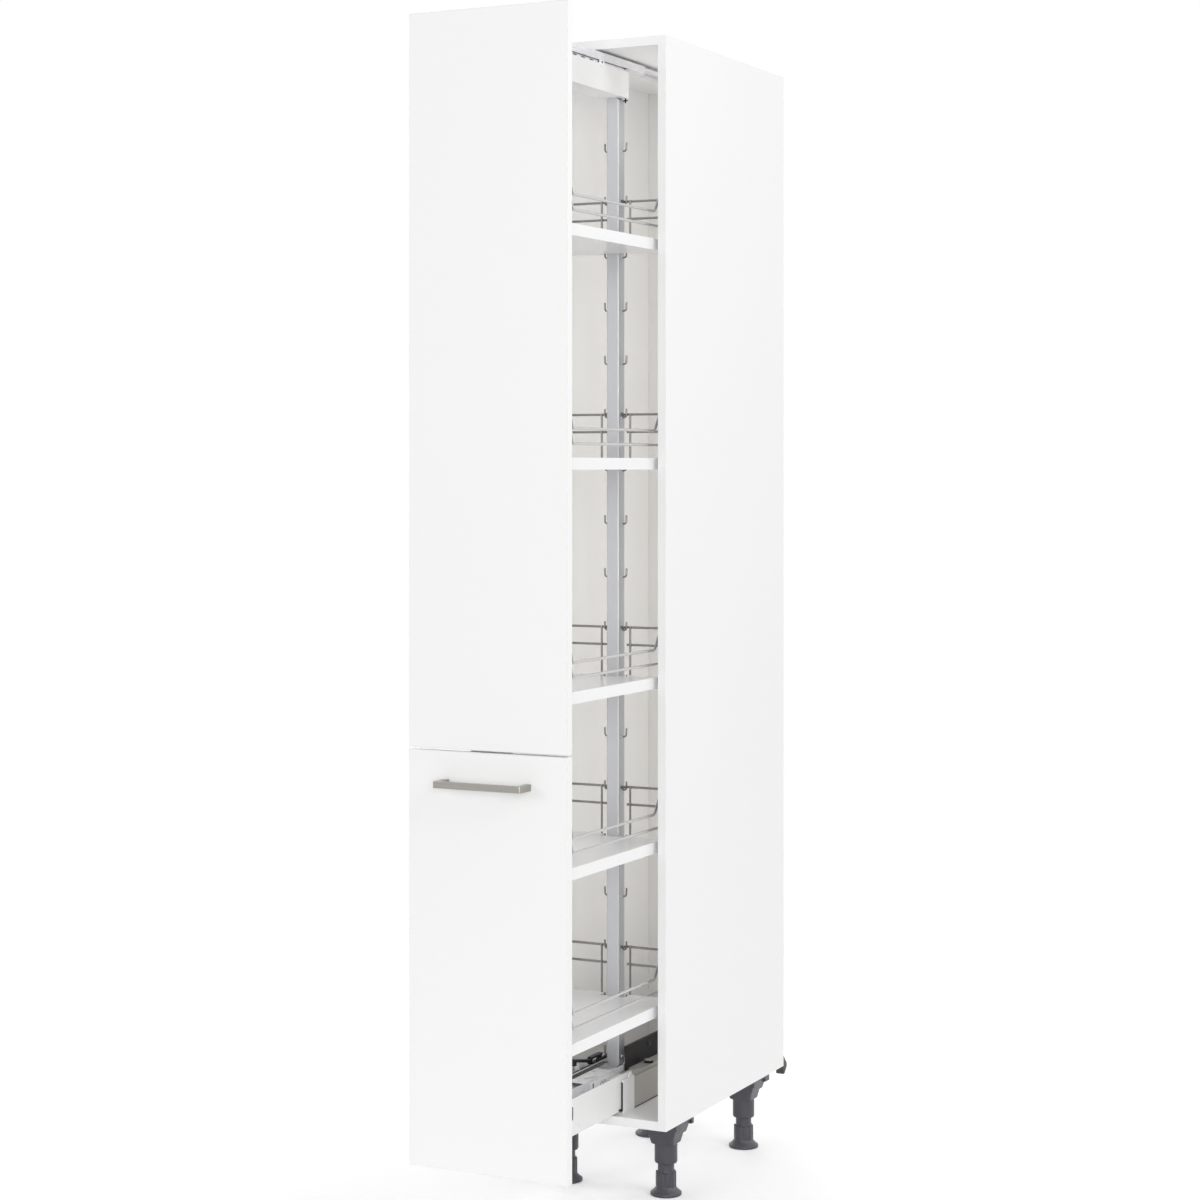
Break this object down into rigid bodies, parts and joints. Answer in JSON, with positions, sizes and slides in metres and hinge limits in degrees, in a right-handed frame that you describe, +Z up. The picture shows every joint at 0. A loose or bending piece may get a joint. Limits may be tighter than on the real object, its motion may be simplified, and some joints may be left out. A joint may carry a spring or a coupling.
{
  "type": "pull out larder unit",
  "caption": "Tall narrow kitchen cabinet on levelling legs whose front pulls out a hook-ladder frame of wire-railed trays on telescopic runners.",
  "frame": {"origin": "on the floor under the middle of the whole unit as pictured, frame pulled out 353 mm", "axes": "+Z up, +X across the unit to the right seen from the front, the fronts face -Y and slide out along -Y"},
  "size_m": [0.3, 0.967, 2.048],
  "materials": {
    "white_board": "white melamine-faced board, satin",
    "back_board": "thin lacquered hardboard",
    "dark_plastic": "dark grey moulded plastic",
    "brown_plastic": "dark brown moulded plastic",
    "black_plastic": "black moulded plastic",
    "white_plastic": "white moulded plastic, slightly glossy",
    "white_steel": "white powder coat",
    "grey_steel": "light grey powder coat",
    "zinc_steel": "bright zinc plating",
    "post_steel": "silver lacquer",
    "brushed_nickel": "brushed nickel",
    "tray_white": "glossy white coated board",
    "chrome_wire": "polished chrome plating"
  },
  "bodies": {
    "cabinet": {"side_left": "white_board", "side_right": "white_board", "top_panel": "white_board", "bottom_panel": "white_board", "back_panel": "back_board", "rear_spacer_left": "brown_plastic", "rear_spacer_right": "brown_plastic", "leg_socket_front_left": "dark_plastic", "leg_socket_front_right": "dark_plastic", "leg_socket_rear_left": "dark_plastic", "leg_socket_rear_right": "dark_plastic", "runner_housing": "grey_steel", "runner_collar": "white_plastic", "bottom_fixed_rail": "zinc_steel", "damper_channel": "black_plastic", "catch_block": "zinc_steel", "top_fixed_rail": "zinc_steel"},
    "pullout_frame": {"upper_front": "white_board", "lower_front": "white_board", "handle": "brushed_nickel", "handle_screw_left": "zinc_steel", "handle_screw_right": "zinc_steel", "front_post": "post_steel", "rear_post": "post_steel", "bottom_moving_rail": "zinc_steel", "side_cover_left": "white_steel", "side_cover_right": "white_steel", "closing_bar": "black_plastic", "top_beam": "zinc_steel", "top_beam_cover": "white_plastic", "base_bracket": "zinc_steel", "post_bracket_lower": "zinc_steel", "post_bracket_middle": "zinc_steel", "post_bracket_upper": "zinc_steel"},
    "bottom_mid_member": {"bottom_mid_rail": "zinc_steel"},
    "top_mid_member": {"top_mid_rail": "zinc_steel"},
    "catch_lever": {"catch_rocker": "black_plastic"},
    "tray_1": {"tray_1_base": "tray_white", "tray_1_gallery_left": "chrome_wire", "tray_1_gallery_right": "chrome_wire"},
    "tray_2": {"tray_2_base": "tray_white", "tray_2_gallery_left": "chrome_wire", "tray_2_gallery_right": "chrome_wire"},
    "tray_3": {"tray_3_base": "tray_white", "tray_3_gallery_left": "chrome_wire", "tray_3_gallery_right": "chrome_wire"},
    "tray_4": {"tray_4_base": "tray_white", "tray_4_gallery_left": "chrome_wire", "tray_4_gallery_right": "chrome_wire"},
    "tray_5": {"tray_5_base": "tray_white", "tray_5_gallery_left": "chrome_wire", "tray_5_gallery_right": "chrome_wire"},
    "foot_front_left": {"leg_foot_front_left": "dark_plastic"},
    "foot_front_right": {"leg_foot_front_right": "dark_plastic"},
    "foot_rear_left": {"leg_foot_rear_left": "dark_plastic"},
    "foot_rear_right": {"leg_foot_rear_right": "dark_plastic"}
  },
  "joints": [
    {"name": "pullout_slide", "type": "slide", "parent": "cabinet", "child": "pullout_frame", "axis": [0, -1, 0], "range_m": [-0.353, 0.1]},
    {"name": "bottom_mid_slide", "type": "slide", "parent": "cabinet", "child": "bottom_mid_member", "axis": [0, -1, 0], "range_m": [-0.1765, 0.05]},
    {"name": "top_mid_slide", "type": "slide", "parent": "cabinet", "child": "top_mid_member", "axis": [0, -1, 0], "range_m": [-0.1765, 0.05]},
    {"name": "catch_pivot", "type": "hinge", "parent": "cabinet", "child": "catch_lever", "pos_m": [-0.0413, 0.0565, 0.2218], "axis": [-1, 0, 0], "range_deg": [0, 20]},
    {"name": "tray_1_lift", "type": "slide", "parent": "pullout_frame", "child": "tray_1", "axis": [0, 0, 1], "range_m": [0, 0.018]},
    {"name": "tray_2_lift", "type": "slide", "parent": "pullout_frame", "child": "tray_2", "axis": [0, 0, 1], "range_m": [0, 0.018]},
    {"name": "tray_3_lift", "type": "slide", "parent": "pullout_frame", "child": "tray_3", "axis": [0, 0, 1], "range_m": [0, 0.018]},
    {"name": "tray_4_lift", "type": "slide", "parent": "pullout_frame", "child": "tray_4", "axis": [0, 0, 1], "range_m": [0, 0.018]},
    {"name": "tray_5_lift", "type": "slide", "parent": "pullout_frame", "child": "tray_5", "axis": [0, 0, 1], "range_m": [0, 0.018]},
    {"name": "foot_front_left_level", "type": "slide", "parent": "cabinet", "child": "foot_front_left", "axis": [0, 0, -1], "range_m": [-0.008, 0.02]},
    {"name": "foot_front_right_level", "type": "slide", "parent": "cabinet", "child": "foot_front_right", "axis": [0, 0, -1], "range_m": [-0.008, 0.02]},
    {"name": "foot_rear_left_level", "type": "slide", "parent": "cabinet", "child": "foot_rear_left", "axis": [0, 0, -1], "range_m": [-0.008, 0.02]},
    {"name": "foot_rear_right_level", "type": "slide", "parent": "cabinet", "child": "foot_rear_right", "axis": [0, 0, -1], "range_m": [-0.008, 0.02]}
  ],
  "couplings": [
    {"joint": "bottom_mid_slide", "follows": "pullout_slide", "ratio": 0.5},
    {"joint": "top_mid_slide", "follows": "pullout_slide", "ratio": 0.5}
  ]
}
